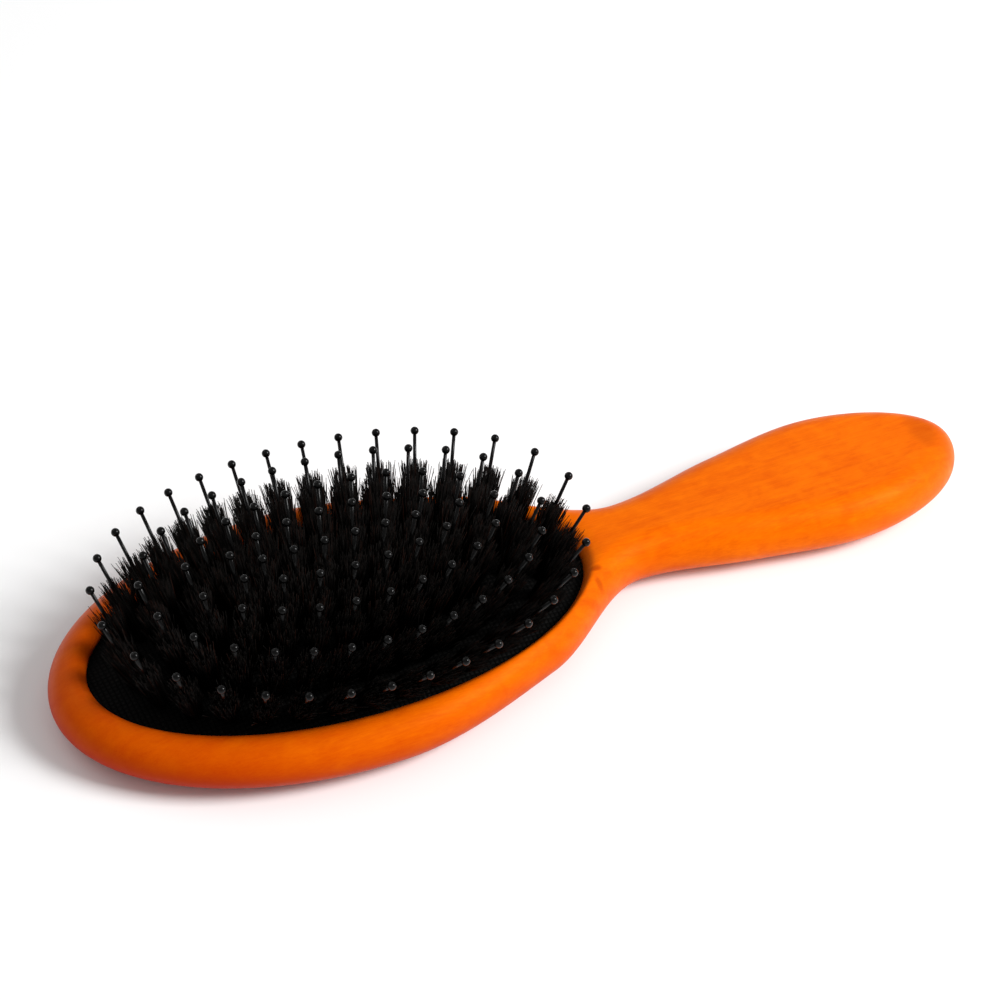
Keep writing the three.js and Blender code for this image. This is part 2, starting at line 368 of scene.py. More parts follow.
@dataclass(frozen=True)
class LacqueredWood(Finish):
    """Pale close-grained wood under a satin orange lacquer, with painted shade that makes it darker and
    redder low on its flanks and at the toe.
    """

    name: str = "lacquered_wood"
    bright: Colour = (0.84, 0.155, 0.0006, 1.0)
    deep: Colour = (0.64, 0.068, 0.0004, 1.0)
    # The colour of the painted shade on the toe and the low flanks.
    shade: Colour = (0.42, 0.02, 0.0004, 1.0)
    dark: Colour = (0.3, 0.022, 0.001, 1.0)
    sheen: Colour = (1.0, 0.45, 0.03, 1.0)
    relief: float = 0.14
    # Where the painted shade falls: towards the toe, and low on the flanks, less along the handle.
    toe_shade_fade: tuple[float, float] = (40.0, -70.0)
    toe_shade: float = 0.5
    flank_shade_fade: tuple[float, float] = (12.8, 2.0)
    flank_shade_reach: tuple[float, float] = (105.0, 35.0)
    flank_shade: float = 0.7
    mark_fade: tuple[float, float] = (7.0, 9.5)
    grain: Noise = Noise((38.0, 1.1, 1.6), 4.0, 0.62, 0.25)
    fibres: Noise = Noise((2.4, 0.3, 0.3), 3.0, 0.65)
    mottle: Noise = Noise((7.5, 5.0, 6.0), 3.0, 0.55, 0.9)
    ripple: Noise = Noise((4.5, 11.0, 11.0), 2.0, 0.5, 1.2)
    clouds: Noise = Noise((46.0, 26.0, 20.0), 2.0, 0.5, 0.5)
    marks: tuple[Mark, ...] = (
        Mark(56.4, -9.8, 1.1, 0.6, 0.6),
        Mark(55.4, -13.2, 0.7, 1.2, 0.5),
        Mark(51.5, -17.0, 2.6, 0.7, 0.25),
        Mark(147.4, -0.4, 3.6, 5.2, 0.3),
    )

    def draw(self, nodes: Nodes, place: Socket) -> dict[str, Any]:
        """Draws grain, mottling, painted shade on the low flanks and toe, and the marks.

        Args:
            nodes: The material's tree.
            place: The Object coordinates.

        Returns:
            What the shader's inputs get.
        """
        x, y, z = nodes.parts(place)
        grain = self.grain.on(nodes, place)
        fibres = self.fibres.on(nodes, place)
        mottle = self.mottle.on(nodes, place)
        ripple = self.ripple.on(nodes, place)
        clouds = self.clouds.on(nodes, place)
        # Painted shade towards the toe and low on the flanks.
        toe = x.fade(self.toe_shade_fade) * self.toe_shade
        low = z.fade(self.flank_shade_fade) * x.fade(self.flank_shade_reach) * self.flank_shade
        streaks = (grain - 0.5) * 0.8 + (fibres - 0.5) * 0.9
        depth = streaks + (mottle - 0.5) * 1.0 + (ripple - 0.5) * 0.25 + 0.3
        colour = nodes.mixed(depth.clamped(), self.bright, self.deep)
        # Painted shade, with large random clouds of darker tone, mixed towards the shade colour.
        painted_shade_and_clouds = (toe + low + (clouds - 0.5) * 0.3).clamped()
        colour = nodes.mixed(painted_shade_and_clouds, colour, self.shade)
        colour = nodes.mixed(self._marks_depth(nodes, x, y, z, mottle), colour, self.dark)
        height = grain * 0.3 + fibres * 0.3 + mottle * 0.5
        return {
            "Base Color": colour,
            "Roughness": (grain - 0.5) * 0.16 + (mottle - 0.5) * 0.12 + 0.4,
            "Specular IOR Level": 0.1,
            "Specular Tint": self.sheen,
            "Normal": nodes.bump(0.35, self.relief, height),
        }

    def _marks_depth(self, nodes: Nodes, x: Value, y: Value, z: Value, mottle: Value) -> Value:
        """How dark the marks make the wood, from 0 to 1.

        Args:
            nodes: The material's tree. It is not used.
            x: The coordinate along the brush.
            y: The coordinate across it.
            z: The height.
            mottle: The pattern that frays the marks.

        Returns:
            The depth of the marks.
        """
        total: Value | None = None
        for mark in self.marks:
            along = (x - mark.x * MM) / (mark.half_length * MM)
            across = (y - mark.y * MM) / (mark.half_width * MM)
            reach = along * along + across * across + (mottle - 0.5) * 1.5
            spot = reach.step(2.6, 0.0) * mark.depth
            total = spot if total is None else total + spot
        return (total * z.fade(self.mark_fade)).clamped()


@dataclass(frozen=True)
class ClothRubber(Finish):
    """Black woven cloth bonded to rubber."""

    name: str = "cloth_rubber"
    yarn: Colour = (0.003, 0.0028, 0.0026, 1.0)
    # The colour of the painted shade in the hollows between the yarns.
    hollow_shade: Colour = (0.0006, 0.0006, 0.0006, 1.0)
    dusty: Colour = (0.03, 0.027, 0.024, 1.0)
    pitch: float = 1.05
    relief: float = 0.22
    dust: Noise = Noise((0.6, 0.6, 0.6), 3.0, 0.6)
    fibres: Noise = Noise((0.25, 0.25, 0.25), 2.0, 0.5)
    patches: Noise = Noise((11.0, 9.0, 9.0), 2.0, 0.5)

    def draw(self, nodes: Nodes, place: Socket) -> dict[str, Any]:
        """Draws a plain weave, with painted shade in the hollows between its yarns, and a little dust on
        its yarns.

        Args:
            nodes: The material's tree.
            place: The Object coordinates.

        Returns:
            What the shader's inputs get.
        """
        x, y, _ = nodes.parts(place)
        turns = math.pi / (self.pitch * MM)
        over = (x * turns).sine() * (y * turns).sine()
        ribs = over.size() ** 0.6
        slack = self.fibres.on(nodes, place)
        specks = self.dust.on(nodes, place).step(0.52, 0.78)
        dust = specks * self.patches.on(nodes, place).step(0.3, 0.7)
        # Painted shade: the hollows between the yarns are darker than the yarn tops.
        colour = nodes.mixed(ribs, self.hollow_shade, self.yarn)
        colour = nodes.mixed(dust * ribs * 0.8, colour, self.dusty)
        height = ribs + slack * 0.25
        return {
            "Base Color": colour,
            "Roughness": 0.78 - ribs * 0.22,
            "Specular IOR Level": 0.045,
            "Normal": nodes.bump(0.9, self.relief, height),
        }


@dataclass(frozen=True)
class BoarBristle(Finish):
    """Black boar bristle, with a few red-brown hairs and paler split tips."""

    name: str = "boar_bristle"
    black: Colour = (0.0016, 0.0013, 0.0012, 1.0)
    brown: Colour = (0.03, 0.008, 0.004, 1.0)
    tip: Colour = (0.006, 0.004, 0.003, 1.0)
    scales: Noise = Noise((0.5, 0.5, 0.9), 2.0, 0.5)

    def draw(self, nodes: Nodes, place: Socket) -> dict[str, Any]:
        """Draws each hair by its own tint and by how far along it a point is.

        Args:
            nodes: The material's tree.
            place: The Object coordinates.

        Returns:
            What the shader's inputs get.
        """
        tint = nodes.value("ShaderNodeAttribute", {"attribute_name": "tint"}, {}, "Fac")
        along = nodes.value("ShaderNodeAttribute", {"attribute_name": "along"}, {}, "Fac")
        scales = self.scales.on(nodes, place)
        colour = nodes.mixed(tint.step(0.8, 0.97) * (scales * 0.8 + 0.3), self.black, self.brown)
        colour = nodes.mixed(along.step(0.72, 1.0) * 0.5, colour, self.tip)
        return {"Base Color": colour, "Roughness": 0.4 + scales * 0.2, "Specular IOR Level": 0.07}


@dataclass(frozen=True)
class BlackNylon(Finish):
    """Glossy black moulded nylon, worn a little duller where it has been handled."""

    name: str = "black_nylon"
    black: Colour = (0.0015, 0.0014, 0.0014, 1.0)
    worn: Colour = (0.004, 0.0038, 0.0038, 1.0)
    relief: float = 0.05
    wear: Noise = Noise((0.9, 0.9, 1.4), 3.0, 0.6)

    def draw(self, nodes: Nodes, place: Socket) -> dict[str, Any]:
        """Draws faint wear over the nylon.

        Args:
            nodes: The material's tree.
            place: The Object coordinates.

        Returns:
            What the shader's inputs get.
        """
        wear = self.wear.on(nodes, place)
        return {
            "Base Color": nodes.mixed(wear.step(0.45, 0.75), self.black, self.worn),
            "Roughness": 0.14 + wear * 0.08,
            "Specular IOR Level": 0.16,
            "Normal": nodes.bump(0.1, self.relief, wear),
        }


@dataclass(frozen=True)
class PaleFloor(Finish):
    """A plain pale floor."""

    name: str = "pale_floor"
    pale: Colour = (0.93, 0.93, 0.93, 1.0)
    paler: Colour = (0.95, 0.95, 0.95, 1.0)
    clouds: Noise = Noise((260.0, 260.0, 260.0), 2.0, 0.5)

    def draw(self, nodes: Nodes, place: Socket) -> dict[str, Any]:
        """Draws a barely uneven pale surface."""
        colour = nodes.mixed(self.clouds.on(nodes, place), self.pale, self.paler)
        return {"Base Color": colour, "Roughness": 0.9, "Specular IOR Level": 0.0}


# ---- Meshes ----


def add_object(name: str, data: bpy.types.ID) -> Item:
    """Makes an object in the scene.

    Args:
        name: The object's name.
        data: Its mesh, camera or lamp.

    Returns:
        The object.
    """
    item = bpy.data.objects.new(name, data)
    bpy.context.scene.collection.objects.link(item)
    return item


def mesh_object(name: str, points: np.ndarray, faces: list[tuple[int, ...]]) -> Item:
    """Makes an object from points and faces, merged where points meet, with its faces outwards.

    Args:
        name: The object's name.
        points: The points, in millimetres, one to a row.
        faces: Each face's points.

    Returns:
        The object, at the origin and smooth shaded.
    """
    mesh = bpy.data.meshes.new(name)
    mesh.from_pydata((points * MM).tolist(), [], faces)
    shape = bmesh.new()
    shape.from_mesh(mesh)
    bmesh.ops.remove_doubles(shape, verts=shape.verts, dist=MERGE_DISTANCE)
    bmesh.ops.dissolve_degenerate(shape, edges=shape.edges, dist=SLIVER_LENGTH)
    bmesh.ops.recalc_face_normals(shape, faces=shape.faces)
    shape.to_mesh(mesh)
    shape.free()
    mesh.shade_smooth()
    return add_object(name, mesh)


def sheet_faces(start: int, rows: int, columns: int, closed: bool) -> list[tuple[int, ...]]:
    """The quads of a grid of points that is stored row by row.

    Args:
        start: The first point's index.
        rows: How many rows.
        columns: How many points in a row.
        closed: Whether each row closes on itself.

    Returns:
        The quads.
    """
    across = columns if closed else columns - 1
    quads = []
    for row in range(rows - 1):
        for column in range(across):
            a, b = row * columns + column, row * columns + (column + 1) % columns
            quads.append((start + a, start + b, start + b + columns, start + a + columns))
    return quads


def fix_to_body(item: Item, body: str, nodes: Iterable[str]) -> None:
    """Fixes a finished piece to a body, and lets it stand for that body's CAD nodes.

    Args:
        item: The piece.
        body: The body that it moves with.
        nodes: The CAD nodes that it replaces.
    """
    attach(item, body)
    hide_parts(*nodes)
    triangles = sum(len(face.vertices) - 2 for face in item.data.polygons)
    LOG.info("%s: %d triangles, rides on %s", item.name, triangles, body)


# ---- Wood ----


@dataclass(frozen=True)
class OutlinePoint:
    """A point of the outline on its +Y side, with its slope."""

    x: float
    y: float
    slope: float


@dataclass
class WoodBody:
    """The wooden body: an oval head with its pocket, the neck and the paddle-shaped handle."""

    finish: LacqueredWood = LacqueredWood()
    shoulder: OutlinePoint = OutlinePoint(38.9, 26.7, -0.356)
    neck: OutlinePoint = OutlinePoint(69.6, 9.6, 0.0)
    paddle_start: OutlinePoint = OutlinePoint(96.3, 14.3, 0.154)
    paddle: OutlinePoint = OutlinePoint(121.3, 17.7, 0.0)
    end_power: float = 1.83
    head_thickness: float = 12.8
    handle_thickness: float = 14.0
    top_round: float = 6.5
    back_round: float = 10.5
    pocket_centre: float = 1.9
    pocket_half_length: float = 54.8
    pocket_half_width: float = 28.4
    pocket_floor: float = 3.2
    groove_foot: float = 7.48
    groove_top: float = 9.72
    groove_depth: float = 2.4
    lip_height: float = 11.0
    lip_width: float = 3.2
    edge_round: float = 0.45
    crest_softness: float = 0.5
    neck_angle: float = 0.3
    lip_run_out: float = 0.4
    edge_hold: float = 0.02
    thickening_start: float = 20.0
    outline_points: int = 1500
    points_at_once: int = 1500
    opening_rounds: int = 14
    straight_stations: int = 60
    end_stations: int = 46
    floor_shares: tuple[float, ...] = (0.6, 0.3, 0.0)
    arc_points: int = 170
    neck_points: int = 48
    rim_rings: int = 30
    back_rings: int = 34
    head_half_length: float = field(init=False)
    head_half_width: float = field(init=False)
    handle_end: float = field(init=False)
    outline: np.ndarray = field(init=False)

    def __post_init__(self) -> None:
        """Takes the outer sizes from the CAD node and draws the outline."""
        low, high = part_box("handle_body")
        self.head_half_length = -low[0] / MM
        self.head_half_width = high[1] / MM
        self.handle_end = high[0] / MM
        middle = (self.handle_end - self.head_half_length) / 2
        reach = (self.handle_end + self.head_half_length) / 2
        x = middle - reach * np.cos(np.linspace(0.0, np.pi, self.outline_points))
        y = self.half_width(x)
        self.outline = np.concatenate([np.c_[x, y], np.c_[x, -y][-2:0:-1]])

    def _between(self, start: OutlinePoint, end: OutlinePoint, x: np.ndarray) -> np.ndarray:
        """The cubic between two outline points.

        Args:
            start: The first point.
            end: The second point.
            x: Places along the brush.

        Returns:
            The half width at each place.
        """
        span = end.x - start.x
        t = (x - start.x) / span
        near = (1 - t) ** 2 * ((1 + 2 * t) * start.y + t * span * start.slope)
        return near + t**2 * ((3 - 2 * t) * end.y - (1 - t) * span * end.slope)

    def half_width(self, x: np.ndarray) -> np.ndarray:
        """Half the width of the wood.

        Args:
            x: Places along the brush.

        Returns:
            The half width at each place.
        """
        widest = OutlinePoint(0.0, self.head_half_width, 0.0)
        head = widest.y * np.sqrt(np.clip(1 - (x / self.head_half_length) ** 2, 0, 1))
        along = np.clip((x - self.paddle.x) / (self.handle_end - self.paddle.x), 0, 1)
        end = self.paddle.y * np.sqrt(1 - along**self.end_power)
        joints = [widest, self.shoulder, self.neck, self.paddle_start, self.paddle]
        width = np.where(x <= 0, head, end)
        for start, stop in zip(joints, joints[1:]):
            width = np.where((x > start.x) & (x <= stop.x), self._between(start, stop, x), width)
        return width

    def depth_inside(self, points: np.ndarray) -> np.ndarray:
        """Distance of points from the outline.

        Args:
            points: The points' x and y.

        Returns:
            The distances.
        """
        following = np.roll(self.outline, -1, axis=0)
        distances = []
        for chunk in np.array_split(points, max(len(points) // self.points_at_once, 1)):
            gaps = ((chunk[:, None, :] - self.outline[None]) ** 2).sum(2)
            nearest = gaps.argmin(1)
            best = np.full(len(chunk), np.inf)
            for first in (nearest - 1, nearest):
                a, b = self.outline[first], following[first]
                run = b - a
                t = ((chunk - a) * run).sum(1) / np.maximum((run**2).sum(1), 1e-12)
                foot = a + np.clip(t, 0, 1)[:, None] * run
                best = np.minimum(best, np.hypot(*(chunk - foot).T))
            distances.append(best)
        return np.concatenate(distances)

    def thickness(self, x: np.ndarray) -> np.ndarray:
        """Thickness of the wood at places along the brush.

        Args:
            x: The places.

        Returns:
            The thickness at each place.
        """
        start, gain = self.thickening_start, self.handle_thickness - self.head_thickness
        t = np.clip((x - start) / (self.paddle.x - start), 0, 1)
        return self.head_thickness + gain * t * t * (3 - 2 * t)

    def blank(self, points: np.ndarray, depth: np.ndarray, side: int) -> np.ndarray:
        """Height of the rounded blank, without its pocket.

        Args:
            points: The points' x and y.
            depth: Their distances from the outline.
            side: 1 for the top and -1 for the back.

        Returns:
            The heights.
        """
        half = self.thickness(points[:, 0]) / 2
        width = self.top_round if side > 0 else self.back_round
        rise = np.sqrt(np.clip(1 - (1 - np.minimum(depth / width, 1)) ** 2, 0, 1))
        return half + side * half * rise

    def opening(self, angle: np.ndarray, offset: float = 0.0) -> np.ndarray:
        """Points on the pocket's outline pushed out by an offset.

        Args:
            angle: Angles round the pocket.
            offset: How far out.

        Returns:
            The points' x and y.
        """
        x = self.pocket_centre + (self.pocket_half_length + offset) * np.cos(angle)
        return np.c_[x, (self.pocket_half_width + offset) * np.sin(angle)]

    def outside_opening(self, points: np.ndarray) -> np.ndarray:
        """Distance of points from the opening, by how far its ellipse has to be pushed out.

        Args:
            points: The points' x and y.

        Returns:
            The distances, which are 0 inside it.
        """
        offset = np.zeros(len(points))
        for _ in range(self.opening_rounds):
            a, b = self.pocket_half_length + offset, self.pocket_half_width + offset
            u, v = (points[:, 0] - self.pocket_centre) / a, points[:, 1] / b
            miss = u * u + v * v - 1
            offset = np.maximum(offset + miss / (2 * (u * u / a + v * v / b)), 0)
        return offset

    def top(self, points: np.ndarray, depth: np.ndarray) -> np.ndarray:
        """Height of the wood's top: the blank, sloping down to the lip and rounded over its edge.

        Args:
            points: The points' x and y.
            depth: Their distances from the outline.

        Returns:
            The heights.
        """
        blank = self.blank(points, depth, 1)
        out = self.outside_opening(points)
        crest = self.thickness(points[:, 0])
        inward = np.clip(1 - out / self.lip_width, 0, None)
        lip = self.lip_height + (crest - self.lip_height) * (1 - inward**2)
        beyond = crest + (out - self.lip_width) * self.lip_run_out
        lip = np.where(out < self.lip_width, lip, beyond)
        soft = np.clip(0.5 + (lip - blank) / (2 * self.crest_softness), 0, 1)
        height = lip + (blank - lip) * soft - self.crest_softness * soft * (1 - soft)
        height = np.where(depth < self.edge_hold, blank, height)
        edge = np.clip(1 - out / self.edge_round, 0, 1)
        return height - self.edge_round * (1 - np.sqrt(np.clip(1 - edge**2, 0, 1)))

    def _border(self) -> tuple[np.ndarray, np.ndarray]:
        """The head's border from the neck round the toe, closed by the neck line, and its angles.

        Returns:
            The border's points and the pocket angle that each looks at.
        """
        x = self.outline[:, 0]
        half = self.outline[(x <= self.neck.x) & (self.outline[:, 1] >= 0)]
        half = half[np.argsort(-half[:, 0])]
        half = np.vstack([[self.neck.x, self.neck.y], half])
        run = np.r_[0, np.cumsum(np.hypot(*np.diff(half, axis=0).T))]
        share = np.linspace(0, 1, self.arc_points)
        upper = np.c_[[np.interp(share * run[-1], run, half[:, k]) for k in (0, 1)]].T
        upper[1:-1, 1] = self.half_width(upper[1:-1, 0])
        angle = self.neck_angle + (math.pi - self.neck_angle) * share
        lower = (upper * [1, -1])[-2::-1]
        line = np.linspace(-1, 1, self.neck_points + 1)
        across = np.c_[np.full(len(line), self.neck.x), self.neck.y * np.sin(line * math.pi / 2)]
        border = np.vstack([upper, lower, across[1:-1]])
        angles = np.r_[angle, 2 * math.pi - angle[-2::-1], line[1:-1] * self.neck_angle]
        return border, angles

    def _ring_depth(self, ring: np.ndarray, on_border: bool) -> np.ndarray:
        """Distances of one of the head's rings from the outline, exactly 0 where it runs along it.

        Args:
            ring: The ring's x and y.
            on_border: Whether it is the outermost ring.

        Returns:
            The distances.
        """
        depth = self.depth_inside(ring)
        if on_border:
            depth[: 2 * self.arc_points - 1] = 0
        return depth

    def _head(self) -> list[np.ndarray]:
        """The head's rows, from the middle of its back over the rim and down into the pocket.

        Returns:
            The back's sheet, and the rim's and pocket's sheet.
        """
        border, angles = self._border()
        back = []
        for share in 1 - np.cos(np.linspace(math.pi / 2, 0, self.back_rings)):
            flat = border * (1 - share)
            back.append(np.c_[flat, self.blank(flat, self._ring_depth(flat, share == 0), -1)])
        rim = []
        mouth = self.opening(angles)
        for share in (1 - np.cos(np.linspace(0, math.pi, self.rim_rings))) / 2:
            flat = border + (mouth - border) * share
            rim.append(np.c_[flat, self.top(flat, self._ring_depth(flat, share == 0))])
        steps = [(0.0, self.groove_top), (self.groove_depth, self.groove_top)]
        steps += [(self.groove_depth, self.groove_foot), (0.0, self.groove_foot)]
        steps += [(0.0, self.pocket_floor)]
        pocket = [np.c_[self.opening(angles, out), np.full(len(angles), z)] for out, z in steps]
        for share in self.floor_shares:
            flat = np.array([self.pocket_centre, 0]) + (mouth - [self.pocket_centre, 0]) * share
            pocket.append(np.c_[flat, np.full(len(angles), self.pocket_floor)])
        return [np.array(back), np.array(rim + pocket)]

    def _handle(self) -> list[np.ndarray]:
        """The handle's stations, as a sheet for its top and one for its back.

        Returns:
            The two sheets.
        """
        straight = np.linspace(self.neck.x, self.paddle.x, self.straight_stations)
        turn = np.sin(np.linspace(0, math.pi / 2, self.end_stations))[1:]
        stations = np.r_[straight, self.paddle.x + (self.handle_end - self.paddle.x) * turn]
        line = np.sin(np.linspace(-1, 1, self.neck_points + 1) * math.pi / 2)
        width = self.half_width(stations)
        width[0], width[-1] = self.neck.y, 0
        flat = np.stack([np.repeat(stations[:, None], len(line), 1), width[:, None] * line], 2)
        points = flat.reshape(-1, 2)
        depth = self.depth_inside(points)
        depth[np.abs(np.tile(line, len(stations))) == 1] = 0
        top = self.top(points, depth)
        back = self.blank(points, depth, -1)
        return [np.c_[points, z].reshape(len(stations), len(line), 3) for z in (top, back)]

    def build(self) -> Item:
        """Builds, dresses and fixes the wooden body.

        Returns:
            The body.
        """
        points: list[np.ndarray] = []
        faces: list[tuple[int, ...]] = []
        for sheets, closed in ((self._head(), True), (self._handle(), False)):
            for sheet in sheets:
                faces += sheet_faces(sum(map(len, points)), *sheet.shape[:2], closed)
                points.append(sheet.reshape(-1, 3))
        body = mesh_object("wooden_body", np.concatenate(points), faces)
        body.data.materials.append(self.finish.material())
        fix_to_body(body, "handle", ["handle_body"])
        return body


# ---- Cushion ----


@dataclass
class Cushion:
    """The domed cushion: rubber faced with cloth, its flange sprung into the pocket's groove."""

    finish: ClothRubber = ClothRubber()
    centre: float = 1.9
    half_length: float = 54.8
    half_width: float = 28.4
    least_length: float = 15.2
    even_share: float = 0.88
    late_power: float = 8.0
    edge_height: float = 9.4
    rise: float = 3.6
    rise_power: float = 2.5
    wall: float = 1.6
    flange: float = 1.76
    dimple: float = 0.5
    dimple_width: float = 3.2
    around: int = 220
    rings: int = 62
    ring_spread: float = 0.9
    under_rings: int = 14
    press: float = 3.0

    def oval_points(self, oval: float, angle: np.ndarray) -> np.ndarray:
        """Points on a level oval of the dome.

        Args:
            oval: 0 on the line of the middle row and 1 at the pocket's wall.
            angle: Angles round the oval.

        Returns:
            The points.
        """
        share = self.even_share * oval + (1 - self.even_share) * oval**self.late_power
        length = self.least_length + (self.half_length - self.least_length) * share
        x = self.centre + length * np.cos(angle)
        y = self.half_width * oval * np.sin(angle)
        return np.c_[x, y, np.full(len(x), self.dome_height(oval))]

    def dome_height(self, oval: float) -> float:
        """Height of one of the dome's ovals."""
        return self.edge_height + self.rise * (1 - oval**self.rise_power)

    def _edge(self, offset: float, z: float, angle: np.ndarray) -> np.ndarray:
        """A ring beyond the pocket's wall, in its groove."""
        x = self.centre + (self.half_length + offset) * np.cos(angle)
        return np.c_[x, (self.half_width + offset) * np.sin(angle), np.full(len(x), z)]

    def build(self, roots: np.ndarray) -> Item:
        """Builds, dresses and fixes the cushion.

        Args:
            roots: Where the tufts stand, one to a row, each of which draws the cloth in.

        Returns:
            The cushion.
        """
        angle = np.linspace(0, 2 * math.pi, self.around, endpoint=False)
        ovals = np.linspace(0, 1, self.rings) ** self.ring_spread
        rows = [self.oval_points(oval, angle) for oval in ovals]
        for row in rows:
            gaps = np.hypot(*(row[:, None, :2] - roots[None, :, :2]).transpose(2, 0, 1))
            row[:, 2] -= self.dimple * np.exp(-((gaps.min(1) / self.dimple_width) ** 2) * 2)
        rows.append(self._edge(self.flange, self.edge_height, angle))
        rows.append(self._edge(self.flange, self.edge_height - self.wall, angle))
        for oval in np.linspace(1, 0, self.under_rings):
            rows.append(self.oval_points(oval, angle) - [0, 0, self.wall])
        grid = np.array(rows)
        faces = sheet_faces(0, *grid.shape[:2], True)
        pad = mesh_object("cushion", grid.reshape(-1, 3), faces)
        pad.data.materials.append(self.finish.material())
        fix_to_body(pad, "handle", ["cushion_pad"])
        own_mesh(pad)
        return pad


# ---- Tufts and pins ----


class GeometryTree(Nodes):
    """A Geometry Nodes tree with named inputs."""

    def __init__(self, name: str, inputs: dict[str, tuple[str, Any]]) -> None:
        """Makes the tree with its mesh input, its named inputs and a mesh output.

        Args:
            name: The tree's name.
            inputs: Each input's socket type and starting value, by name.
        """
        super().__init__(bpy.data.node_groups.new(name, "GeometryNodeTree"))
        face = self.tree.interface
        face.new_socket("Roots", in_out="INPUT", socket_type="NodeSocketGeometry")
        for label, (kind, start) in inputs.items():
            socket = face.new_socket(label, in_out="INPUT", socket_type=f"NodeSocket{kind}")
            if start is not None:
                socket.default_value = start
        face.new_socket("Mesh", in_out="OUTPUT", socket_type="NodeSocketGeometry")
        self.source = self.add("NodeGroupInput", {}, {})

    def given(self, label: str) -> Value:
        """One of the tree's named inputs."""
        return Value(self, self.source.outputs[label])

    def chance(self, low: Any, high: Any, salt: int) -> Value:
        """A random number for each element, from the tree's seed.

        Args:
            low: The least.
            high: The most.
            salt: What sets it apart from the tree's other random numbers.

        Returns:
            The number.
        """
        inputs = {2: low, 3: high, "Seed": self.given("Seed") + float(salt)}
        return self.value("FunctionNodeRandomValue", {"data_type": "FLOAT"}, inputs, 1)

    def named(self, name: str, kind: str) -> Socket:
        """A named attribute of the roots."""
        return self.socket("GeometryNodeInputNamedAttribute", {"data_type": kind}, {"Name": name})

    def stored(self, mesh: Any, name: str, kind: str, value: Any) -> Socket:
        """Stores a named attribute on each point of a mesh.

        Args:
            mesh: The mesh's socket.
            name: The attribute's name.
            kind: Its type.
            value: What it holds.

        Returns:
            The mesh with the attribute.
        """
        settings = {"data_type": kind, "domain": "POINT"}
        inputs = {"Geometry": mesh, "Name": name, "Value": value}
        return self.socket("GeometryNodeStoreNamedAttribute", settings, inputs)

    def turned(self, vector: Any, rotation: Any) -> Socket:
        """A vector turned by a rotation."""
        return self.socket("FunctionNodeRotateVector", {}, {0: vector, 1: rotation})

    def towards(self, vector: Any) -> Socket:
        """The rotation that turns the upright towards a vector."""
        return self.socket("FunctionNodeAlignRotationToVector", {"axis": "Z"}, {"Vector": vector})

    def moved(self, geometry: Any, offset: Any) -> Socket:
        """Geometry with its points moved by an offset."""
        return self.socket("GeometryNodeSetPosition", {}, {"Geometry": geometry, "Offset": offset})

    def shifted(self, mesh: Any, height: Any) -> Socket:
        """A mesh raised by a height."""
        inputs = {"Geometry": mesh, "Translation": self.vector(0.0, 0.0, height)}
        return self.socket("GeometryNodeTransform", {}, inputs)

    def planted(self, points: Any, mesh: Any, lean: str, extra: dict[Any, Any]) -> Socket:
        """Real copies of a mesh on points, each turned towards an attribute of its point.

        Args:
            points: The points' socket.
            mesh: The mesh's socket.
            lean: The attribute's name.
            extra: What other inputs the copies get.

        Returns:
            The copies.
        """
        turn = self.towards(self.named(lean, "FLOAT_VECTOR"))
        inputs = {"Points": points, "Instance": mesh, "Rotation": turn, **extra}
        copies = self.socket("GeometryNodeInstanceOnPoints", {}, inputs)
        return self.socket("GeometryNodeRealizeInstances", {}, {0: copies})

    def close(self, mesh: Any) -> Tree:
        """Ends the tree with real meshes in their material, smooth shaded.

        Args:
            mesh: The last mesh's socket.

        Returns:
            The tree.
        """
        smooth = self.socket("GeometryNodeSetShadeSmooth", {}, {"Geometry": mesh})
        material = self.given("Material")
        dressed = self.socket("GeometryNodeSetMaterial", {}, {0: smooth, 2: material})
        self.add("NodeGroupOutput", {}, {0: dressed})
        return self.tree


@dataclass(frozen=True)
class Tuft:
    """Where one tuft stands and which way it leans."""

    root: tuple[float, float, float]
    lean: tuple[float, float, float]


def grown(name: str, tufts: list[Tuft], tree: Tree, inputs: dict[str, Any]) -> Item:
    """Grows one plain mesh from the roots of some tufts.

    Args:
        name: The piece's name.
        tufts: The tufts.
        tree: The Geometry Nodes tree.
        inputs: Its inputs, by name.

    Returns:
        The piece, with no modifier left on it.
    """
    mesh = bpy.data.meshes.new(name)
    mesh.from_pydata([[MM * part for part in tuft.root] for tuft in tufts], [], [])
    leans = mesh.attributes.new("lean", "FLOAT_VECTOR", "POINT")
    leans.data.foreach_set("vector", [part for tuft in tufts for part in tuft.lean])
    item = add_object(name, mesh)
    modifier = item.modifiers.new("grow", "NODES")
    modifier.node_group = tree
    for socket in tree.interface.items_tree:
        if socket.item_type == "SOCKET" and socket.name in inputs:
            modifier[socket.identifier] = inputs[socket.name]
    depsgraph = bpy.context.evaluated_depsgraph_get()
    depsgraph.update()
    whole = bpy.data.meshes.new_from_object(item.evaluated_get(depsgraph), depsgraph=depsgraph)
    item.modifiers.clear()
    item.data = whole
    whole.name = name
    return item


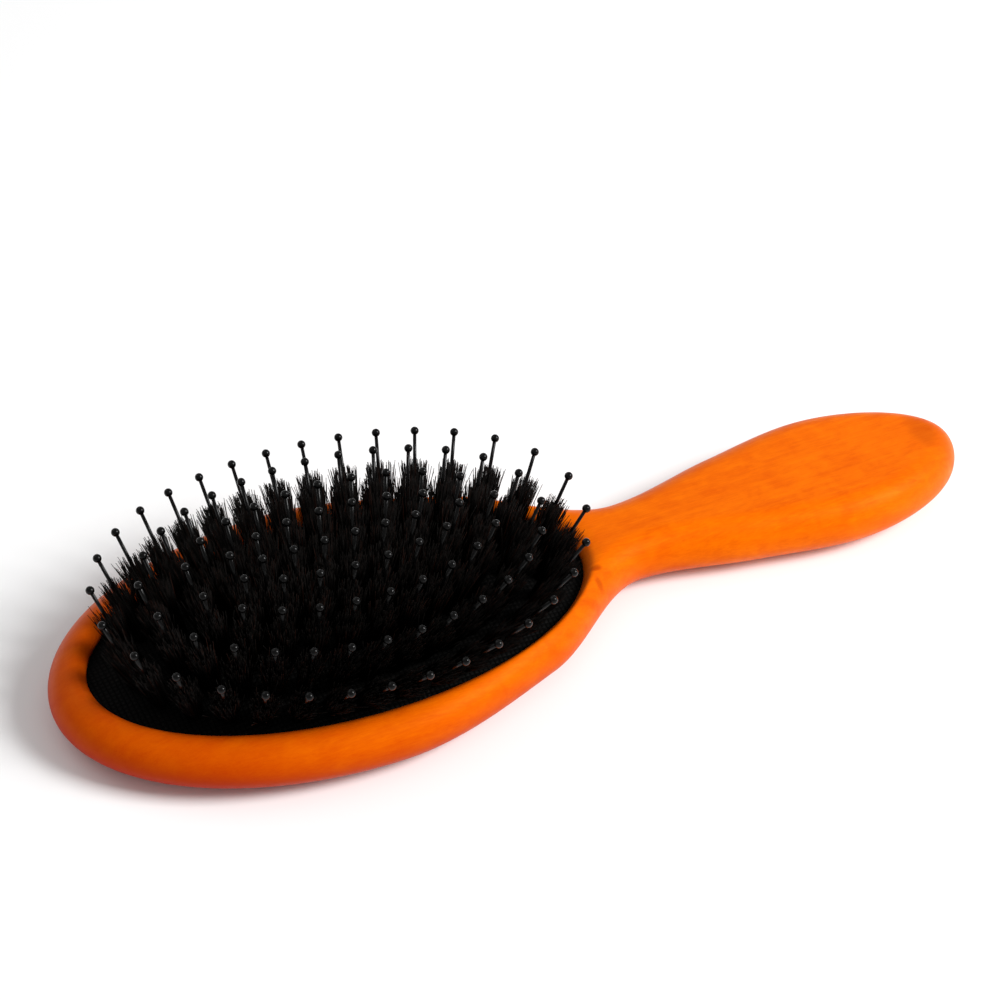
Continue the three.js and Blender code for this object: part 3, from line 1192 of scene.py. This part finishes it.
@dataclass(frozen=True)
class BristleBundle:
    """A tuft's bundle of bristles: how many, how long, and how they spread, bend and stray."""

    finish: BoarBristle = BoarBristle()
    count: int = 210
    root_radius: float = 1.9
    length: float = 15.6
    shortest: float = 0.74
    sunk: float = 0.8
    splay: float = 0.062
    wander: float = 0.028
    stray_share: float = 0.07
    stray_wander: float = 0.17
    bend: float = 0.9
    thickness: float = 0.17
    tip_share: float = 0.4
    sides: int = 3
    short_power: float = 1.6
    edge_loss: float = 0.06
    bow_rise: tuple[float, float] = (-0.3, 0.1)
    seed: int = 11

    def tree(self) -> Tree:
        """Builds the tree that grows the bristles.

        Returns:
            The tree.
        """
        numbers = {
            "Bristles": ("Int", self.count),
            "Root Radius": ("Float", self.root_radius * MM),
            "Length": ("Float", self.length * MM),
            "Shortest": ("Float", self.shortest),
            "Sunk": ("Float", self.sunk * MM),
            "Splay": ("Float", self.splay),
            "Wander": ("Float", self.wander),
            "Stray Wander": ("Float", self.stray_wander),
            "Bend": ("Float", self.bend * MM),
            "Thickness": ("Float", self.thickness * MM),
            "Seed": ("Int", self.seed),
            "Material": ("Material", None),
        }
        tree = GeometryTree("bristle_bundle", numbers)
        inputs = {"Geometry": tree.source.outputs["Roots"], "Amount": tree.given("Bristles")}
        roots = tree.socket("GeometryNodeDuplicateElements", {"domain": "POINT"}, inputs)
        frame_of_tuft = tree.towards(tree.named("lean", "FLOAT_VECTOR"))
        turn = tree.chance(0.0, 2 * math.pi, 1)
        out = tree.chance(0.0, 1.0, 2) ** 0.5
        side, ahead = out * turn.cosine(), out * turn.sine()
        stray = tree.chance(0.0, 1.0, 3).above(1.0 - self.stray_share)
        wander = tree.given("Wander") + stray * tree.given("Stray Wander")
        lean_side = side * tree.given("Splay") + tree.chance(-1.0, 1.0, 4) * wander
        lean_ahead = ahead * tree.given("Splay") + tree.chance(-1.0, 1.0, 5) * wander
        radius = tree.given("Root Radius")
        offset = tree.vector(side * radius, ahead * radius, tree.given("Sunk") * -1.0)
        placed = tree.moved(roots, tree.turned(offset, frame_of_tuft))
        direction = tree.turned(tree.vector(lean_side, lean_ahead, 1.0), frame_of_tuft)
        rise = tree.chance(*self.bow_rise, 8)
        bow = tree.vector(tree.chance(-1.0, 1.0, 6), tree.chance(-1.0, 1.0, 7), rise)
        bow = tree.vector_maths("SCALE", {0: bow, "Scale": tree.given("Bend")})
        placed = tree.stored(placed, "direction", "FLOAT_VECTOR", direction)
        placed = tree.stored(placed, "bow", "FLOAT_VECTOR", bow)
        placed = tree.stored(placed, "tint", "FLOAT", tree.chance(0.0, 1.0, 9))
        loss = (1.0 - tree.given("Shortest")) * tree.chance(0.0, 1.0, 10) ** self.short_power
        length = tree.given("Length") * (1.0 - loss) * (1.0 - out * self.edge_loss)
        cone = {
            "Vertices": self.sides,
            "Side Segments": 3,
            "Radius Top": self.tip_share,
            "Radius Bottom": 1.0,
            "Depth": 1.0,
        }
        hair = tree.socket("GeometryNodeMeshCone", {"fill_type": "NGON"}, cone)
        height = tree.parts(tree.socket("GeometryNodeInputPosition", {}, {}))[2]
        hair = tree.stored(hair, "along", "FLOAT", height)
        thickness = tree.given("Thickness")
        size = {"Scale": tree.vector(thickness, thickness, length)}
        hairs = tree.planted(placed, hair, "direction", size)
        along = Value(tree, tree.named("along", "FLOAT"))
        shift = {0: tree.named("bow", "FLOAT_VECTOR"), "Scale": along * along}
        bent = tree.moved(hairs, tree.vector_maths("SCALE", shift))
        return tree.close(bent)


@dataclass(frozen=True)
class BallPin:
    """A nylon pin with a ball at its tip, which stands up the middle of a tuft."""

    finish: BlackNylon = BlackNylon()
    height: float = 21.4
    radius: float = 0.45
    neck_share: float = 0.84
    ball_radius: float = 0.9
    sunk: float = 1.2
    sides: int = 10
    side_segments: int = 3
    ball_segments: int = 14
    ball_rings: int = 9

    def tree(self) -> Tree:
        """Builds the tree that stands a pin in each tuft.

        Returns:
            The tree.
        """
        numbers = {
            "Height": ("Float", self.height * MM),
            "Radius": ("Float", self.radius * MM),
            "Ball Radius": ("Float", self.ball_radius * MM),
            "Sunk": ("Float", self.sunk * MM),
            "Material": ("Material", None),
        }
        tree = GeometryTree("ball_pin", numbers)
        radius, ball_radius = tree.given("Radius"), tree.given("Ball Radius")
        reach = tree.given("Height") - ball_radius
        cone = {
            "Vertices": self.sides,
            "Side Segments": self.side_segments,
            "Radius Top": radius * self.neck_share,
            "Radius Bottom": radius,
            "Depth": reach + tree.given("Sunk"),
        }
        shaft = tree.socket("GeometryNodeMeshCone", {"fill_type": "NGON"}, cone)
        shaft = tree.shifted(shaft, tree.given("Sunk") * -1.0)
        sphere = {"Segments": self.ball_segments, "Rings": self.ball_rings, "Radius": ball_radius}
        ball = tree.shifted(tree.socket("GeometryNodeMeshUVSphere", {}, sphere), reach)
        both = tree.add("GeometryNodeJoinGeometry", {}, {})
        for part in (shaft, ball):
            tree.tree.links.new(part, both.inputs[0])
        roots = tree.source.outputs["Roots"]
        return tree.close(tree.planted(roots, both.outputs[0], "lean", {}))


@dataclass(frozen=True)
class Ring:
    """A ring of tufts on one oval of the cushion, joined under it in arcs.

    Its first tuft stands a share of a space past +X.
    """

    body: str
    oval: float
    tufts: int
    arcs: int
    start: float

    def nodes(self, what: str) -> list[str]:
        """Names of the ring's CAD nodes of one kind."""
        return [f"{self.body}_{what}_{k + 1}" for k in range(self.arcs)]


@dataclass
class BristleField:
    """All the tufts and pins, as one piece of each for every body of the press."""

    cushion: Cushion
    bundle: BristleBundle = BristleBundle()
    pin: BallPin = BallPin()
    lean_x: float = 0.44
    lean_y: float = 0.852
    rings: tuple[Ring, ...] = (
        Ring("outer_ring", 0.832, 32, 4, 0.17),
        Ring("second_ring", 0.626, 28, 4, 0.54),
        Ring("third_ring", 0.398, 21, 3, 0.0),
        Ring("inner_ring", 0.2, 15, 3, 0.0),
    )
    row_body: str = "centre_row"
    row_tufts: int = 6
    row_centre: float = 0.9
    row_half_length: float = 14.5
    oval_steps: int = 2001
    seed_step: int = 100

    def _tuft(self, root: np.ndarray) -> Tuft:
        """The tuft rooted at a point, leaning out the more the nearer it is to the wood.

        Args:
            root: The point.

        Returns:
            The tuft.
        """
        x = math.sin(self.lean_x) * (root[0] - self.cushion.centre) / self.cushion.half_length
        y = math.sin(self.lean_y) * root[1] / self.cushion.half_width
        return Tuft(tuple(root), (x, y, math.sqrt(1 - x * x - y * y)))

    def _ring_tufts(self, ring: Ring) -> list[Tuft]:
        """A ring's tufts, evenly spaced along its oval.

        Args:
            ring: The ring.

        Returns:
            The tufts.
        """
        steps = np.linspace(0, 2 * math.pi, self.oval_steps)
        oval = self.cushion.oval_points(ring.oval, steps)
        run = np.r_[0, np.cumsum(np.linalg.norm(np.diff(oval, axis=0), axis=1))]
        targets = run[-1] * (np.arange(ring.tufts) + ring.start) / ring.tufts
        angles = steps[np.searchsorted(run, targets)]
        return [self._tuft(root) for root in self.cushion.oval_points(ring.oval, angles)]

    def _row(self) -> list[Tuft]:
        """The middle row's tufts.

        Returns:
            The tufts.
        """
        half, height = self.row_half_length, self.cushion.dome_height(0.0)
        places = np.linspace(-half, half, self.row_tufts) + self.row_centre
        return [self._tuft(np.array([x, 0.0, height])) for x in places]

    def groups(self) -> list[tuple[str, list[Tuft], list[str], list[str]]]:
        """Each body with its tufts and its CAD nodes for tufts and for pins.

        Returns:
            The body, its tufts, and both kinds of node, one set for each body.
        """
        made = [(r.body, self._ring_tufts(r), r.nodes("tufts"), r.nodes("pins")) for r in self.rings]
        row = self.row_body
        return [*made, (row, self._row(), [f"{row}_tufts"], [f"{row}_pins"])]

    def roots(self) -> np.ndarray:
        """Where all the tufts stand."""
        return np.array([tuft.root for _, tufts, _, _ in self.groups() for tuft in tufts])

    def build(self) -> list[Item]:
        """Builds, dresses and fixes the bristles and pins of each body.

        Returns:
            The pieces.
        """
        bristle, nylon = self.bundle.finish.material(), self.pin.finish.material()
        bundle_tree, pin_tree = self.bundle.tree(), self.pin.tree()
        pieces = []
        for i, (body, tufts, tuft_nodes, pin_nodes) in enumerate(self.groups()):
            inputs = {"Seed": self.bundle.seed + self.seed_step * i, "Material": bristle}
            bristles = grown(f"{body}_bristles", tufts, bundle_tree, inputs)
            fix_to_body(bristles, body, tuft_nodes)
            pins = grown(f"{body}_ball_pins", tufts, pin_tree, {"Material": nylon})
            fix_to_body(pins, body, pin_nodes)
            pieces += [bristles, pins]
        return pieces


# ---- Studio ----


@dataclass(frozen=True)
class Viewpoint:
    """A camera that looks at a point of the object, in degrees and millimetres."""

    azimuth: float = -30.575
    elevation: float = 41.29
    roll: float = 5.051
    lens: float = 93.92
    distance: float = 585.35
    target: tuple[float, float, float] = (54.854, 30.031, 0.0)
    sensor: float = 36.0
    clip: tuple[float, float] = (0.02, 20.0)

    def place(self) -> Item:
        """Makes the scene's camera.

        Returns:
            The camera.
        """
        a, e, r = (math.radians(angle) for angle in (self.azimuth, self.elevation, self.roll))
        back = Vector((math.sin(a) * math.cos(e), -math.cos(a) * math.cos(e), math.sin(e)))
        level = Vector((math.cos(a), math.sin(a), 0.0))
        up = back.cross(level)
        right = math.cos(r) * level + math.sin(r) * up
        above = math.cos(r) * up - math.sin(r) * level
        data = bpy.data.cameras.new("camera")
        data.lens, data.sensor_width = self.lens, self.sensor
        data.clip_start, data.clip_end = self.clip
        data.dof.use_dof = False
        camera = add_object("camera", data)
        turn = Matrix((right, above, back)).transposed().to_4x4()
        place = (Vector(self.target) + back * self.distance) * MM
        camera.matrix_world = Matrix.Translation(place) @ turn
        bpy.context.scene.camera = camera
        return camera


@dataclass(frozen=True)
class SoftLamp:
    """A square soft lamp that points at the middle of the object."""

    name: str
    place: tuple[float, float, float]
    size: float
    power: float
    colour: tuple[float, float, float] = (1.0, 1.0, 1.0)
    aim: tuple[float, float, float] = (0.045, 0.0, 0.01)

    def hang(self) -> None:
        """Adds the lamp to the scene."""
        data = bpy.data.lights.new(self.name, "AREA")
        data.shape, data.size = "SQUARE", self.size
        data.energy, data.color = self.power, self.colour
        lamp = add_object(self.name, data)
        lamp.location = self.place
        sight = Vector(self.aim) - Vector(self.place)
        lamp.rotation_euler = sight.to_track_quat("-Z", "Y").to_euler()


@dataclass
class Studio:
    """The pale floor, the soft lamps and the camera."""

    viewpoint: Viewpoint = Viewpoint()
    floor_finish: PaleFloor = PaleFloor()
    floor_size: float = 12.0
    sky: float = 0.42
    lamps: tuple[SoftLamp, ...] = (
        SoftLamp("key", (0.85, -0.6, 0.9), 0.55, 21.0),
        SoftLamp("fill", (-0.5, 0.8, 0.9), 0.9, 2.0),
    )

    def build(self, foot: float) -> None:
        """Sets up the studio round the object.

        Args:
            foot: The height that the object stands at, in metres.
        """
        self.viewpoint.place()
        half = self.floor_size / 2
        signs = ((-1, -1), (1, -1), (1, 1), (-1, 1))
        corners = np.array([[x * half, y * half, foot] for x, y in signs]) / MM
        floor = mesh_object("floor", corners, [(0, 1, 2, 3)])
        floor.data.materials.append(self.floor_finish.material())
        floor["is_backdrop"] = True
        world = bpy.data.worlds.new("soft_studio")
        world.use_nodes = True
        background = world.node_tree.nodes["Background"]
        background.inputs["Color"].default_value = (1.0, 1.0, 1.0, 1.0)
        background.inputs["Strength"].default_value = self.sky
        bpy.context.scene.world = world
        for lamp in self.lamps:
            lamp.hang()
        settings = bpy.context.scene.view_settings
        settings.view_transform, settings.look = "Standard", "None"


def corners_of(box: tuple[Iterable[float], Iterable[float]]) -> list[list[float]]:
    """A box's lowest and highest corners as plain lists."""
    return [[float(part) for part in corner] for corner in box]


def main() -> None:
    """Builds the studio and every piece of the brush."""
    logging.basicConfig(level=logging.INFO, format="%(name)s: %(message)s")
    cad_box = corners_of(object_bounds())
    Studio().build(cad_box[0][2])
    WoodBody().build()
    cushion = Cushion()
    bristles = BristleField(cushion)
    cushion.build(bristles.roots())
    bristles.build()


if __name__ == "__main__":
    main()
